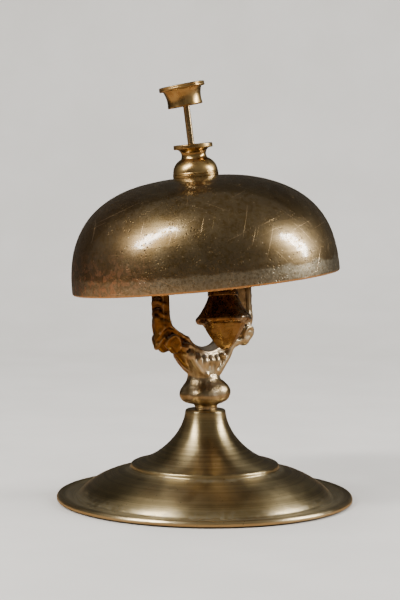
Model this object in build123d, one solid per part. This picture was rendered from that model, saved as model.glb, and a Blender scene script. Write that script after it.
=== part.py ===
"""Brass counter service bell: turned foot, cast yoke, domed bell, plunger and swinging hammer.

All sizes are millimetres. The origin is the centre of the resting face, +Z is up, +X is the
bell's right-hand side seen from the front and -Y is the front.

Four frames are used. The foot stands upright in the row frame. The yoke leans a little to the
left of the foot. The bell, its post, finial and hammer hang-up lean further. The plunger leans
furthest, loose in the wide hole of the finial. The yoke and the hammer gear are also turned YAW
degrees about the upright, so that the left arm stands nearer the front.
"""
import math
import os

from build123d import *

# ---- frames -------------------------------------------------------------------------------
YAW = 40.0            # turn of the yoke's plane from the X axis
YOKE_LEAN = 2.5       # degrees to the left
KNOP_LEAN = 3.0       # the round part of the casting came out crooked
YOKE_X = 0.3
BELL_LEAN = 6.1
PLUNGER_LEAN = 7.6
BUTTON_LEAN = 11.5    # the button sits crooked and off centre on its rod
BUTTON_OFFSET = 0.4
FOOT_TOP = 39.1       # height of the foot's top face, where the yoke stands
BELL_X, BELL_Z = -0.2, 93.7   # centre of the bell's rim

# ---- foot ---------------------------------------------------------------------------------
FOOT_R = 63.5
FELT_T = 0.6
FELT_INNER, FELT_OUTER = 55.4, 62.4
RIM_TOP = 2.9
STEP_R, STEP_Z = 31.8, 15.8   # outer edge of the trumpet, above the ogee
NUT_SEAT = 20.0       # underside seat for the washer and nut

# ---- fasteners ----------------------------------------------------------------------------
STUD_R = 3.0
STUD_HOLE = STUD_R + 0.2
STUD_IN_YOKE, STUD_BELOW = 10.4, 7.8      # stud length above the foot and below the seat
SCREW_R = 1.5
SCREW_HOLE, SCREW_HEAD_R, SCREW_SINK = SCREW_R + 0.1, 3.0, 1.5
SLIP = 0.02           # radial slip between mating threads, modelled plain
BASE_WASHER_R, BASE_WASHER_T = 6.5, 1.2
BASE_NUT_AF, BASE_NUT_T = 10.0, 5.0       # across flats and thickness
POST_NUT_AF, POST_NUT_T = 13.0, 3.4

# ---- yoke, heights above the foot's top ---------------------------------------------------
NECK_R = 4.9
WAIST_R, WAIST_Z = 6.7, 14.6
ARM_U = 23.4          # centre of each arm, out from the yoke's axis
ARM_T = 2.6           # thickness of the plain strip behind the ribs
ARM_HALF_W = 4.1
CRADLE_R, CRADLE_Z = 10.5, 37.5   # the small U between the shoulders
SHOULDER_Z, NUB_Z = 37.4, 32.4    # the shoulder slopes down from the arm to the U
TIP_U, TIP_Z = 24.9, 28.4         # pointed lower end of each arm
RIB_R, RIB_PITCH, RIB_FIRST, RIB_COUNT = 1.75, 4.5, 38.0, 12
PAD_LOW, PAD_HALF = 84.0, 3.2     # solid pad under the bridge at the top of each arm
ARM_TOP = 96.0                    # cut back level with the bridge
VOLUTE_U, VOLUTE_Z, VOLUTE_R = 19.4, 31.2, 2.6

# ---- bell, heights above its rim plane along its own axis ---------------------------------
BELL_R, BELL_H = 57.2, 45.2
WALL = 1.9
DOME_POWER = 2.55     # exponent of the dome's superellipse
CROWN_FLAT_R = 9.4
SEAT_R, SEAT_T = 8.6, 1.2     # leather washer under the crown
RING_R, RING_T = 9.7, 1.2     # brass washer on the crown
FINIAL_H = 12.75

# ---- bridge, post and hanger --------------------------------------------------------------
BRIDGE_BOTTOM, BRIDGE_T = 35.8, 3.0
BRIDGE_HALF_W = 4.5
BOSS_R = 8.0
POST_R, POST_BORE = 4.5, 2.9
POST_BOTTOM, GUIDE_L, GUIDE_R = 30.2, 3.0, 1.5
POST_TOP = 51.0
HANGER_T = 1.4
EAR_U, EAR_T = 8.2, 1.3       # inner face and thickness of each ear
EAR_R = 3.2

# ---- hammer, s is distance out from the axis towards the front right ----------------------
PIVOT_S, PIVOT_H = 7.0, 22.0
PIN_R = 1.5
HUB_R, HUB_HALF = 2.8, 5.0
TAIL_L, TAIL_RISE = 7.0, 33.0     # lever length and its angle above level at rest
NOSE_R = 1.6
HEAD_U, HEAD_S, LIP_H = -0.5, 9.85, -16.7     # middle of the head's flared lip
HEAD_TILT = (-4.8, 8.2)           # the lever is bent: the head tips back and to one side
SOCKET_FLOOR, HEAD_TOP = 7.6, 14.2            # heights above the lip
LEVER_ROD_R = 2.2

# ---- plunger, heights along its own axis from the lower guide -----------------------------
GUIDE_MID = POST_BOTTOM + GUIDE_L / 2
ROD_R = 1.4
FOOT_BOTTOM, FOOT_H, FOOT_DISC_R = -4.12, 2.32, 2.8
COLLAR_Z, COLLAR_R, COLLAR_T = 21.0, 2.15, 1.5
SPRING_WIRE, SPRING_MEAN_R, SPRING_TURNS = 0.5, 1.95, 11
BUTTON_Z, BUTTON_H, BUTTON_R = 43.5, 9.2, 9.8

YAWED = Location((0, 0, 0), (0, 0, YAW))
YOKE = Location((YOKE_X, 0, FOOT_TOP), (0, -YOKE_LEAN, 0)) * YAWED
BELL = Location((BELL_X, 0, BELL_Z), (0, -BELL_LEAN, 0))
GEAR = BELL * YAWED
_guide = BELL * Location((0, 0, GUIDE_MID))
PLUNGER = Location(_guide.position, (0, -PLUNGER_LEAN, 0))
HEAD_PLACE = Location((HEAD_U, -HEAD_S, LIP_H), (*HEAD_TILT, 0))    # in the gear frame


# ---- small helpers ------------------------------------------------------------------------
def turned(*edges):
    """Solid of revolution about Z from a closed outline of edges in the XZ plane."""
    return revolve(make_face(Wire(edges)), Axis.Z)


def outline(points):
    """Straight edges through (r, z) points, open."""
    spots = [Vector(r, 0, z) for r, z in points]
    return [Line(a, b) for a, b in zip(spots, spots[1:])]


def arc(a, mid, b):
    """Arc through three (r, z) points."""
    return ThreePointArc((a[0], 0, a[1]), (mid[0], 0, mid[1]), (b[0], 0, b[1]))


def curve(points):
    """Smooth curve through (r, z) points."""
    return Spline(*[(r, 0, z) for r, z in points])


def tube(outer, inner, bottom, top):
    """Upright tube between two heights."""
    height = top - bottom
    middle = Location((0, 0, (top + bottom) / 2))
    return middle * (Cylinder(outer, height) - Cylinder(inner, height + 2))


def rod(radius, bottom, top):
    """Upright cylinder between two heights."""
    return Location((0, 0, (top + bottom) / 2)) * Cylinder(radius, top - bottom)


def along_y(radius, half, x, z):
    """Cylinder lying along Y, centred at x, z."""
    return Location((x, 0, z), (90, 0, 0)) * Cylinder(radius, 2 * half)


def along_x(radius, x0, x1, y, z):
    """Cylinder lying along X from x0 to x1."""
    return Location(((x0 + x1) / 2, y, z), (0, 90, 0)) * Cylinder(radius, x1 - x0)


def tapered(a, b, ra, rb):
    """Cone from point a to point b with a round end at b."""
    a, b = Vector(*a), Vector(*b)
    height = (b - a).length
    place = Plane(origin=(a + b) * 0.5, z_dir=b - a).location
    return place * Cone(ra, rb, height) + Location(b) * Sphere(rb)


def slab(x0, x1, y0, y1, z0, z1):
    """Box between six coordinates."""
    middle = Location(((x0 + x1) / 2, (y0 + y1) / 2, (z0 + z1) / 2))
    return middle * Box(x1 - x0, y1 - y0, z1 - z0)


def save(name, shape, place=Location()):
    """Writes one node as parts/NAME.step, placed in the row frame."""
    placed = place * shape
    placed.label = name
    export_step(placed, os.path.join("parts", name + ".step"))


# ---- foot and its fixings -----------------------------------------------------------------
def base_foot():
    """Trumpet foot over an ogee and a flat rim, hollow underneath."""
    top_r, lip = 8.6, 0.5
    shoulder, step_low = (STEP_R - 0.9, STEP_Z + 0.15), STEP_Z - 0.9
    cove = (STEP_R + 1.0, STEP_Z - 2.0)
    rim_r, rim_curl = 62.0, 1.1
    under = [(53.4, FELT_T), (51.6, 3.0), (46.4, 6.8), (40.0, 8.9), (33.0, 9.6), (28.0, 11.2)]
    outside = [
        *outline([(STUD_HOLE, NUT_SEAT), (STUD_HOLE, FOOT_TOP), (top_r - lip, FOOT_TOP),
                  (top_r, FOOT_TOP - lip)]),
        curve([(top_r, FOOT_TOP - lip), (9.9, 33.2), (12.0, 29.1), (15.0, 25.3), (19.0, 21.6),
               (24.6, 18.1), shoulder]),
        arc(shoulder, (STEP_R - 0.2, STEP_Z - 0.2), (STEP_R, step_low)),
        arc((STEP_R, step_low), (STEP_R + 0.2, STEP_Z - 1.55), cove),
        curve([cove, (37.0, 12.6), (42.0, 11.1), (46.5, 9.0), (50.5, 6.4),
               (53.2, 4.1), (54.4, RIM_TOP - 0.4)]),
        arc((54.4, RIM_TOP - 0.4), (54.8, RIM_TOP - 0.8), (55.6, RIM_TOP - 0.9)),
        *outline([(55.6, RIM_TOP - 0.9), (rim_r, RIM_TOP)]),
        arc((rim_r, RIM_TOP), (FOOT_R - 0.4, RIM_TOP - 0.4), (FOOT_R, RIM_TOP - rim_curl)),
        *outline([(FOOT_R, RIM_TOP - rim_curl), (FOOT_R, FELT_T + 0.3), (FOOT_R - 0.3, FELT_T),
                  (under[0])]),
        curve(under),
        arc(under[-1], (22.0, 15.0), (16.0, NUT_SEAT)),
        *outline([(16.0, NUT_SEAT), (STUD_HOLE, NUT_SEAT)]),
    ]
    return turned(*outside)


def felt_ring():
    """Thin felt glued under the rim."""
    return tube(FELT_OUTER, FELT_INNER, 0, FELT_T)


def yoke_stud():
    """Threaded rod that holds the yoke down on the foot."""
    return rod(STUD_R, NUT_SEAT - STUD_BELOW, FOOT_TOP + STUD_IN_YOKE)


def base_washer():
    """Plain washer under the foot."""
    return tube(BASE_WASHER_R, STUD_HOLE, NUT_SEAT - BASE_WASHER_T, NUT_SEAT)


def hex_nut(across_flats, bore, bottom, top):
    """Hexagon nut with rounded-off corners."""
    height = top - bottom
    middle = Location((0, 0, (top + bottom) / 2))
    corner = across_flats / math.sqrt(3)
    body = extrude(RegularPolygon(corner, 6), height / 2, both=True)
    cap = Cylinder(corner, height)
    cap = chamfer(cap.edges().filter_by(GeomType.CIRCLE), 0.12 * height, 0.6)
    return middle * ((body & cap) - Cylinder(bore, height + 2))


def base_nut():
    """Nut on the stud under the foot."""
    top = NUT_SEAT - BASE_WASHER_T
    return hex_nut(BASE_NUT_AF, STUD_R + SLIP, top - BASE_NUT_T, top)


# ---- yoke casting -------------------------------------------------------------------------
def knop():
    """Pear-shaped swelling above the round neck, up to the waist."""
    side = [(NECK_R, 2.4), (5.4, 3.1), (8.9, 4.2), (10.4, 6.6), (9.6, 9.4), (8.0, 12.0),
            (WAIST_R, WAIST_Z)]
    return turned(
        *outline([(0, 0), (NECK_R, 0), (NECK_R, 2.4)]),
        curve(side),
        *outline([(WAIST_R, WAIST_Z), (0, WAIST_Z), (0, 0)]),
    )


def calyx():
    """Fan-shaped cup that spreads from the waist to the shoulders."""
    levels = [(WAIST_Z - 2.0, WAIST_R + 0.1, 5.9), (17.0, 7.6, 6.0), (20.0, 11.8, 5.9),
              (23.5, 15.2, 5.6), (28.5, 18.2, 5.0)]
    return loft([Location((0, 0, z)) * Ellipse(u, v) for z, u, v in levels])


def calyx_lobes():
    """Rounded leaves that rise from the waist, front and back, and a ball beside the last."""
    shapes = []
    for side in (-1, 1):
        for step in range(-2, 3):
            low = (step * 1.9, side * 5.2, 16.2)
            high = (step * 5.0, side * 4.3, 23.6 + 0.55 * step * step)
            shapes.append(tapered(low, high, 0.8, 1.9))
        for end in (-1, 1):
            shapes.append(Location((end * 8.6, side * 6.2, 23.2)) * Sphere(1.15))
    return shapes


def shoulder_plate():
    """Flat middle of the casting: the cradle edge, the shoulders and the lower corners."""
    half = [(0, 20.0), (10.0, 20.0), (15.2, 24.0), (18.4, 28.6), (23.0, 31.0),
            (22.6, SHOULDER_Z), (CRADLE_R, NUB_Z)]
    points = half + [(-u, z) for u, z in reversed(half[1:])]
    face = make_face(Polyline(*[(u, 0, z) for u, z in points], close=True))
    return extrude(face, ARM_HALF_W, both=True)


def arm(side):
    """One ribbed arm, from its pointed lower tip to the pad under the bridge."""
    inner, outer = ARM_U - ARM_T / 2 - 0.3, ARM_U + ARM_T / 2 - 0.3
    strip = [(inner, ARM_TOP), (inner, 32.5), (TIP_U - 1.6, TIP_Z + 1.2), (TIP_U, TIP_Z),
             (TIP_U + 0.3, 33.0), (outer, 38.0), (outer, ARM_TOP)]
    tongue = [(-ARM_HALF_W, ARM_TOP), (-ARM_HALF_W, 35.0), (-0.9, TIP_Z), (0.9, TIP_Z),
              (ARM_HALF_W, 35.0), (ARM_HALF_W, ARM_TOP)]
    front = extrude(make_face(Polyline(*[(side * u, 0, z) for u, z in strip], close=True)),
                    ARM_HALF_W, both=True)
    across = extrude(make_face(Polyline(*[(0, v, z) for v, z in tongue], close=True)),
                     40, both=True)
    shape = front & across
    for index in range(RIB_COUNT):
        height = RIB_FIRST + RIB_PITCH * index
        shape += along_y(RIB_R, ARM_HALF_W + 0.25, side * (ARM_U + 0.1), height)
    pad = slab(side * ARM_U - PAD_HALF, side * ARM_U + PAD_HALF, -ARM_HALF_W, ARM_HALF_W,
               PAD_LOW, ARM_TOP)
    return shape + pad


def volutes():
    """Round bosses inside a raised arch where each arm meets the calyx."""
    shapes = []
    for side in (-1, 1):
        shapes.append(along_y(VOLUTE_R, ARM_HALF_W + 0.9, side * VOLUTE_U, VOLUTE_Z))
        for face in (-1, 1):
            ring = Location((side * VOLUTE_U, face * ARM_HALF_W, VOLUTE_Z + 0.5), (90, 0, 0))
            shapes.append(ring * Torus(VOLUTE_R + 1.1, 0.7))
    return shapes


def yoke():
    """The whole casting, drilled for the stud and for the bridge screws."""
    body = calyx() + shoulder_plate() + arm(-1) + arm(1)
    for piece in calyx_lobes() + volutes():
        body += piece
    body -= along_y(CRADLE_R, 20, 0, CRADLE_Z)
    crooked = Location((YOKE_X, 0, FOOT_TOP), (0, -(YOKE_LEAN + KNOP_LEAN), 0))
    placed = YOKE * body + crooked * knop()
    above = GEAR * slab(-60, 60, -60, 60, BRIDGE_BOTTOM, BRIDGE_BOTTOM + 60)
    below = slab(-60, 60, -60, 60, FOOT_TOP - 20, FOOT_TOP)
    placed = placed - above - below
    placed -= rod(STUD_R + SLIP, FOOT_TOP - 1, FOOT_TOP + 11)
    for side in (-1, 1):
        placed -= GEAR * Location((side * ARM_U, 0, 0)) * rod(SCREW_R + SLIP, BRIDGE_BOTTOM - 8.5,
                                                             BRIDGE_BOTTOM + 1)
    return placed


# ---- bridge, post and bell ----------------------------------------------------------------
def bridge():
    """Bar across the arms, with a boss that carries the bell and the post."""
    top = BRIDGE_BOTTOM + BRIDGE_T
    bar = extrude(SlotOverall(2 * (ARM_U + PAD_HALF), 2 * BRIDGE_HALF_W), BRIDGE_T)
    shape = Location((0, 0, BRIDGE_BOTTOM)) * bar
    shape += rod(BOSS_R, top - 0.5, crown_heights()[0] - SEAT_T)
    shape -= rod(POST_R + SLIP, BRIDGE_BOTTOM - 1, BELL_H)
    for side in (-1, 1):
        hole = Location((side * ARM_U, 0, 0))
        shape -= hole * rod(SCREW_HOLE, BRIDGE_BOTTOM - 1, top + 1)
        sink = Cone(SCREW_HOLE, SCREW_HEAD_R + 0.1, SCREW_SINK)
        shape -= hole * Location((0, 0, top - SCREW_SINK / 2)) * sink
    return shape


def bridge_screws():
    """Two slotted countersunk screws, one into each arm."""
    top = BRIDGE_BOTTOM + BRIDGE_T
    screw = rod(SCREW_R, BRIDGE_BOTTOM - 7.5, top - 0.4)
    screw += Location((0, 0, top - SCREW_SINK / 2)) * Cone(SCREW_R, SCREW_HEAD_R, SCREW_SINK)
    screw -= slab(-4, 4, -0.35, 0.35, top - 0.6, top + 1)
    return Compound([Location((side * ARM_U, 0, 0)) * screw for side in (-1, 1)])


def centre_post():
    """Hollow post through the bridge and bell, with a narrow guide at its lower end."""
    shape = rod(POST_R, POST_BOTTOM, POST_TOP)
    shape = chamfer(shape.edges().filter_by(GeomType.CIRCLE), 0.4)
    shape -= rod(GUIDE_R, POST_BOTTOM - 1, POST_TOP)
    return shape - rod(POST_BORE, POST_BOTTOM + GUIDE_L, POST_TOP + 1)


def dome_points(radius, height, count):
    """Points down a superellipse dome, from the edge of the flat crown to the rim."""
    first = math.acos((CROWN_FLAT_R / radius) ** (DOME_POWER / 2))
    points = []
    for index in range(count):
        angle = first * (1 - index / (count - 1)) ** 1.15
        points.append((radius * math.cos(angle) ** (2 / DOME_POWER),
                       height * math.sin(angle) ** (2 / DOME_POWER)))
    return points


def bell():
    """Thin dome with a flat crown, a hole for the post and an eased rim."""
    ease = 0.8
    outer = dome_points(BELL_R, BELL_H, 12)
    inner = dome_points(BELL_R - WALL, BELL_H - WALL, 12)
    hole = POST_R + 0.2
    outer_top, inner_top = outer[0][1], inner[0][1]
    body = turned(
        *outline([(hole, inner_top), (hole, outer_top), outer[0]]),
        curve(outer),
        *outline([outer[-1], inner[-1]]),
        curve(list(reversed(inner))),
        *outline([inner[0], (hole, inner_top)]),
    )
    rim = body.edges().filter_by(GeomType.CIRCLE).group_by(Axis.Z)[0]
    return fillet(rim, ease)


def crown_heights():
    """Inner and outer height of the bell's flat crown."""
    inner = dome_points(BELL_R - WALL, BELL_H - WALL, 12)[0][1]
    outer = dome_points(BELL_R, BELL_H, 12)[0][1]
    return inner, outer


def finial():
    """Turned collar nut: domed body, waisted neck and a flange with the plunger's hole."""
    height, flange_r = FINIAL_H, 8.35
    shape = turned(
        *outline([(0, 0), (9.5, 0)]),
        arc((9.5, 0), (9.7, 0.4), (9.5, 0.8)),
        arc((9.5, 0.8), (8.5, 4.2), (5.7, 6.6)),
        *outline([(5.7, 6.6), (5.45, 7.1)]),
        arc((5.45, 7.1), (5.3, 8.8), (6.8, height - 2.0)),
        *outline([(6.8, height - 2.0), (flange_r - 0.2, height - 1.9), (flange_r, height - 1.7),
                  (flange_r, height - 0.3), (flange_r - 0.3, height), (0, height), (0, 0)]),
    )
    shape -= rod(POST_R + SLIP, -1, 5.4)
    shape -= rod(POST_BORE, 5, 8.4)
    return shape - rod(2.35, 8, height + 1)


# ---- hammer gear, X across the swing, Y towards the back left -----------------------------
def hammer_hanger():
    """Folded plate clamped under the bridge, with two ears that carry the pivot pin."""
    top = BRIDGE_BOTTOM
    reach = EAR_U + EAR_T
    plate = slab(-reach, reach, -PIVOT_S - EAR_R, 7.0, top - HANGER_T, top)
    plate -= rod(POST_R + 0.1, top - 3, top + 1)
    shape = plate
    for side in (-1, 1):
        near, far = sorted((side * EAR_U, side * reach))
        shape += slab(near, far, -PIVOT_S - EAR_R, -PIVOT_S + EAR_R, PIVOT_H, top)
        shape += along_x(EAR_R, near, far, -PIVOT_S, PIVOT_H)
    return shape - along_x(PIN_R + SLIP, -20, 20, -PIVOT_S, PIVOT_H)


def post_nut():
    """Thin nut that clamps the hanger and the bridge on the post."""
    top = BRIDGE_BOTTOM - HANGER_T
    return hex_nut(POST_NUT_AF, POST_R + SLIP, top - POST_NUT_T, top)


def pivot_pin():
    """Headed pin with a groove for its clip."""
    end = EAR_U + EAR_T
    shape = along_x(PIN_R, -end - 0.1, end + 1.9, -PIVOT_S, PIVOT_H)
    shape += along_x(2.5, -end - 1.2, -end - 0.1, -PIVOT_S, PIVOT_H)
    groove = along_x(PIN_R + 1, end + 0.3, end + 1.1, -PIVOT_S, PIVOT_H)
    return shape - (groove - along_x(1.1, end, end + 2, -PIVOT_S, PIVOT_H))


def pivot_clip():
    """Open ring that snaps into the pin's groove."""
    end = EAR_U + EAR_T
    ring = along_x(3.0, end + 0.4, end + 1.0, -PIVOT_S, PIVOT_H)
    ring -= along_x(1.13, end, end + 2, -PIVOT_S, PIVOT_H)
    return ring - slab(end, end + 2, -PIVOT_S - 0.8, -PIVOT_S + 0.8, PIVOT_H - 4, PIVOT_H)


def pivot_spacers():
    """Two short tubes that keep the lever in the middle of the pin."""
    shapes = []
    for side in (-1, 1):
        ends = sorted((side * (HUB_HALF + 0.05), side * (EAR_U - 0.05)))
        tube_x = along_x(2.5, *ends, -PIVOT_S, PIVOT_H)
        shapes.append(tube_x - along_x(PIN_R + SLIP, *ends, -PIVOT_S, PIVOT_H))
    return Compound(shapes)


def hammer_lever():
    """Hub with a short nosed tail under the plunger and a long arm down to the head."""
    rise = math.radians(TAIL_RISE)
    nose_y = -PIVOT_S + TAIL_L * math.cos(rise)
    nose_z = PIVOT_H + TAIL_L * math.sin(rise)
    hub = along_x(HUB_R, -HUB_HALF, HUB_HALF, -PIVOT_S, PIVOT_H)
    nose = along_x(NOSE_R, -2.2, 2.2, nose_y, nose_z)
    web = Location((0, -PIVOT_S, PIVOT_H), (TAIL_RISE, 0, 0)) * slab(-2.2, 2.2, 0, TAIL_L, -2.6, -0.8)
    shoulder = HEAD_TOP + 0.8
    low = (HEAD_PLACE * Location((0, 0, shoulder))).position
    down = (HEAD_PLACE * Location((0, 0, shoulder - 1))).position - low
    path = Spline((0, -PIVOT_S, PIVOT_H - 2.0), low, tangents=((0, 0, -1), down))
    arm_rod = sweep(Plane(origin=path @ 0, z_dir=path % 0) * Circle(LEVER_ROD_R), path=path)
    tenon = HEAD_PLACE * rod(LEVER_ROD_R - 0.2, SOCKET_FLOOR + 0.4, shoulder)
    shape = hub + nose + web + arm_rod + tenon
    return shape - along_x(PIN_R + 0.05, -10, 10, -PIVOT_S, PIVOT_H)


def hammer_head():
    """Turned acorn: grooved neck, flared cup with a rolled lip, and a rounded nut below."""
    neck_r, neck_low, lip_r, nut = 6.5, 10.0, 11.85, 12.2
    shape = turned(
        *outline([(0, HEAD_TOP), (4.1, HEAD_TOP)]),
        arc((4.1, HEAD_TOP), (5.9, HEAD_TOP - 0.7), (neck_r, HEAD_TOP - 2.4)),
        *outline([(neck_r, HEAD_TOP - 2.4), (neck_r, neck_low + 0.8), (neck_r - 0.4, neck_low + 0.5),
                  (neck_r, neck_low + 0.2), (neck_r, neck_low)]),
        arc((neck_r, neck_low), (8.4, 6.0), (lip_r - 0.7, 2.2)),
        arc((lip_r - 0.7, 2.2), (lip_r, 0.6), (lip_r - 1.2, -0.9)),
        *outline([(lip_r - 1.2, -0.9), (9.0, -1.4)]),
        curve([(9.0, -1.4), (8.3, -3.6), (6.6, -6.4), (4.8, -9.0), (2.8, -11.2), (0, -nut)]),
        *outline([(0, -nut), (0, HEAD_TOP)]),
    )
    shape -= rod(LEVER_ROD_R - 0.2 + SLIP, SOCKET_FLOOR, HEAD_TOP + 1)
    return HEAD_PLACE * shape


# ---- plunger ------------------------------------------------------------------------------
def plunger_rod():
    """Straight rod from the tappet to the button."""
    return rod(ROD_R, FOOT_BOTTOM + 0.8, BUTTON_Z + 6.0)


def plunger_tappet():
    """Round-ended foot that pushes the hammer's tail and stops the plunger at the top."""
    top = FOOT_BOTTOM + FOOT_H
    shape = turned(
        *outline([(0, top), (FOOT_DISC_R, top), (FOOT_DISC_R, FOOT_BOTTOM + 0.5)]),
        arc((FOOT_DISC_R, FOOT_BOTTOM + 0.5), (1.9, FOOT_BOTTOM + 0.1), (0.9, FOOT_BOTTOM)),
        *outline([(0.9, FOOT_BOTTOM), (0, FOOT_BOTTOM), (0, top)]),
    )
    return shape - rod(ROD_R + SLIP, FOOT_BOTTOM + 0.8, top + 1)


def spring_collar():
    """Collar fixed on the rod, pushed up by the spring."""
    return tube(COLLAR_R, ROD_R + SLIP, COLLAR_Z, COLLAR_Z + COLLAR_T)


def plunger_spring():
    """Coil spring between the post's guide shoulder and the collar."""
    low = GUIDE_L / 2 + SPRING_WIRE / 2 + 0.15
    high = COLLAR_Z - SPRING_WIRE / 2 - 0.05
    pitch = (high - low) / SPRING_TURNS
    path = Helix(pitch, high - low, SPRING_MEAN_R)
    wire = sweep(Plane(origin=path @ 0, z_dir=path % 0) * Circle(SPRING_WIRE / 2), path=path,
                 is_frenet=True)
    return Location((0, 0, low)) * wire


def button():
    """Waisted finger button with a flanged, slightly dished top."""
    body_r, waist_r, flange_t = 8.3, 7.3, 1.9
    shelf, dish_r = BUTTON_H - flange_t, BUTTON_R - 1.3
    return turned(
        *outline([(0, 0), (7.3, 0), (7.5, 0.3)]),
        arc((7.5, 0.3), (waist_r, 3.4), (body_r, shelf)),
        *outline([(body_r, shelf), (BUTTON_R - 0.2, shelf + 0.1), (BUTTON_R, shelf + 0.3),
                  (BUTTON_R, shelf + 0.9), (BUTTON_R - 0.25, shelf + 1.05),
                  (BUTTON_R, shelf + 1.2), (BUTTON_R, BUTTON_H - 0.3),
                  (BUTTON_R - 0.3, BUTTON_H), (dish_r, BUTTON_H)]),
        arc((dish_r, BUTTON_H), (5.0, BUTTON_H - 0.4), (1.0, BUTTON_H - 0.5)),
        *outline([(1.0, BUTTON_H - 0.5), (0, BUTTON_H - 0.5), (0, 0)]),
    )


def crooked_button():
    """The button on its rod: bored along the rod, but crooked and off centre."""
    seat = Location((-BUTTON_OFFSET, 0, BUTTON_Z), (0, PLUNGER_LEAN - BUTTON_LEAN, 0))
    return seat * button() - rod(ROD_R + SLIP, BUTTON_Z - 2, BUTTON_Z + 6.0)


def main():
    os.makedirs("parts", exist_ok=True)
    inner_crown, outer_crown = crown_heights()
    save("base_foot", base_foot())
    save("felt_ring", felt_ring())
    save("yoke_stud", yoke_stud())
    save("base_washer", base_washer())
    save("base_nut", base_nut())
    save("yoke", yoke())
    save("bridge", bridge(), GEAR)
    save("bridge_screws", bridge_screws(), GEAR)
    save("centre_post", centre_post(), BELL)
    save("hammer_hanger", hammer_hanger(), GEAR)
    save("post_nut", post_nut(), GEAR)
    save("seat_washer", tube(SEAT_R, POST_R + 0.1, inner_crown - SEAT_T, inner_crown), BELL)
    save("bell", bell(), BELL)
    save("finial_washer", tube(RING_R, POST_R + 0.1, outer_crown, outer_crown + RING_T), BELL)
    save("finial", finial(), BELL * Location((0, 0, outer_crown + RING_T)))
    save("pivot_pin", pivot_pin(), GEAR)
    save("pivot_clip", pivot_clip(), GEAR)
    save("pivot_spacers", pivot_spacers(), GEAR)
    save("hammer_lever", hammer_lever(), GEAR)
    save("hammer_head", hammer_head(), GEAR)
    save("plunger_rod", plunger_rod(), PLUNGER)
    save("plunger_tappet", plunger_tappet(), PLUNGER)
    save("spring_collar", spring_collar(), PLUNGER)
    save("plunger_spring", plunger_spring(), PLUNGER)
    save("button", crooked_button(), PLUNGER)


main()
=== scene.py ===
"""Looks of a brass counter service bell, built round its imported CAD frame.

Turned pieces are spun again from the outline of their CAD node, finely enough for tool rings,
nicks and dents. The cast yoke is carved out of a distance field in its own frame. Lengths are
millimetres until a mesh is made; the stage is in metres.
Axes of the row frame: +Z up, +X to the right of the camera, -Y towards it.
"""
import math

import bmesh
import bpy
import numpy as np
from mathutils import Matrix, Vector


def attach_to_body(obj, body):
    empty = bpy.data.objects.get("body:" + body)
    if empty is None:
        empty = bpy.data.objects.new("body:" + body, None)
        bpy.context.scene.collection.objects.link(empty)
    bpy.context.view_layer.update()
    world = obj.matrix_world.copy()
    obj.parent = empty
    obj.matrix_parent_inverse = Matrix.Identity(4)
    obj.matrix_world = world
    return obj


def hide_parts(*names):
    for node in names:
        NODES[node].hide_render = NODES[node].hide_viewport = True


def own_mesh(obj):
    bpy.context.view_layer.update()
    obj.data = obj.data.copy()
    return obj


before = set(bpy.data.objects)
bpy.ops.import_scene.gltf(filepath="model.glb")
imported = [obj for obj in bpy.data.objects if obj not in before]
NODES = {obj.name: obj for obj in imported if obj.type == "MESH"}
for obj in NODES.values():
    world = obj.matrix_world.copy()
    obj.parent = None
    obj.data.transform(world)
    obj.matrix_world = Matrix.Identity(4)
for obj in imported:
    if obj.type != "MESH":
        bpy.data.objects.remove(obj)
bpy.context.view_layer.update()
MM = 0.001

# ---- frames, the same leans as the CAD ----
YAW = 40.0
YOKE_X, YOKE_LEAN = 0.3, 2.5
KNOP_LEAN = 3.0
BELL_LEAN = 6.1
PLUNGER_LEAN, BUTTON_LEAN = 7.6, 11.5
FOOT_TOP = 39.1
BELL_RIM = (-0.2, 0.0, 93.7)
GUIDE_HEIGHT = 31.7  # the plunger tilts about the middle of its lower guide
BUTTON_HEIGHT, BUTTON_OFFSET = 43.5, 0.4
HEAD_SPOT, HEAD_TILT = (-0.5, -9.85, -16.7), (-4.8, 8.2)  # middle of its lip; tips back, aside
BRIDGE_BOTTOM = 35.8


def turn(axis, degrees):
    return Matrix.Rotation(math.radians(degrees), 4, axis)


def shift(x, y, z):
    return Matrix.Translation((x * MM, y * MM, z * MM))


UPRIGHT = Matrix.Identity(4)
YAWED = turn("Z", YAW)
YOKE = shift(YOKE_X, 0, FOOT_TOP) @ turn("Y", -YOKE_LEAN) @ YAWED
BELL = shift(*BELL_RIM) @ turn("Y", -BELL_LEAN)
GEAR = BELL @ YAWED
GUIDE = (BELL @ shift(0, 0, GUIDE_HEIGHT)).translation
PLUNGER = Matrix.Translation(GUIDE) @ turn("Y", -PLUNGER_LEAN)
BUTTON = (PLUNGER @ shift(-BUTTON_OFFSET, 0, BUTTON_HEIGHT)
          @ turn("Y", PLUNGER_LEAN - BUTTON_LEAN))
HEAD = GEAR @ shift(*HEAD_SPOT) @ turn("X", HEAD_TILT[0]) @ turn("Y", HEAD_TILT[1])


# ---- smooth seeded noise ----
NOISE_CELLS = 32  # the noise repeats after so many lumps


def noise(points, size, seed):
    """Smooth noise from -1 to 1 at points, with lumps about size across."""
    table = np.random.default_rng(seed).uniform(-1, 1, [NOISE_CELLS] * 3)
    spot = np.asarray(points) / size
    low = np.floor(spot).astype(int)
    part = spot - low
    part = part * part * (3 - 2 * part)
    total = 0
    for corner in np.ndindex(2, 2, 2):
        weight = 1
        for axis in range(3):
            share = part[..., axis]
            weight = weight * (share if corner[axis] else 1 - share)
        index = (low + corner) % NOISE_CELLS
        total = total + weight * table[index[..., 0], index[..., 1], index[..., 2]]
    return total


def dips(points, size, seed, level):
    """Scattered dips: 0 almost everywhere, positive where the noise rises above level."""
    return np.maximum(0, noise(points, size, seed) - level)


def smoothstep(low, high, value):
    share = np.clip((value - low) / (high - low), 0, 1)
    return share * share * (3 - 2 * share)


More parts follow.
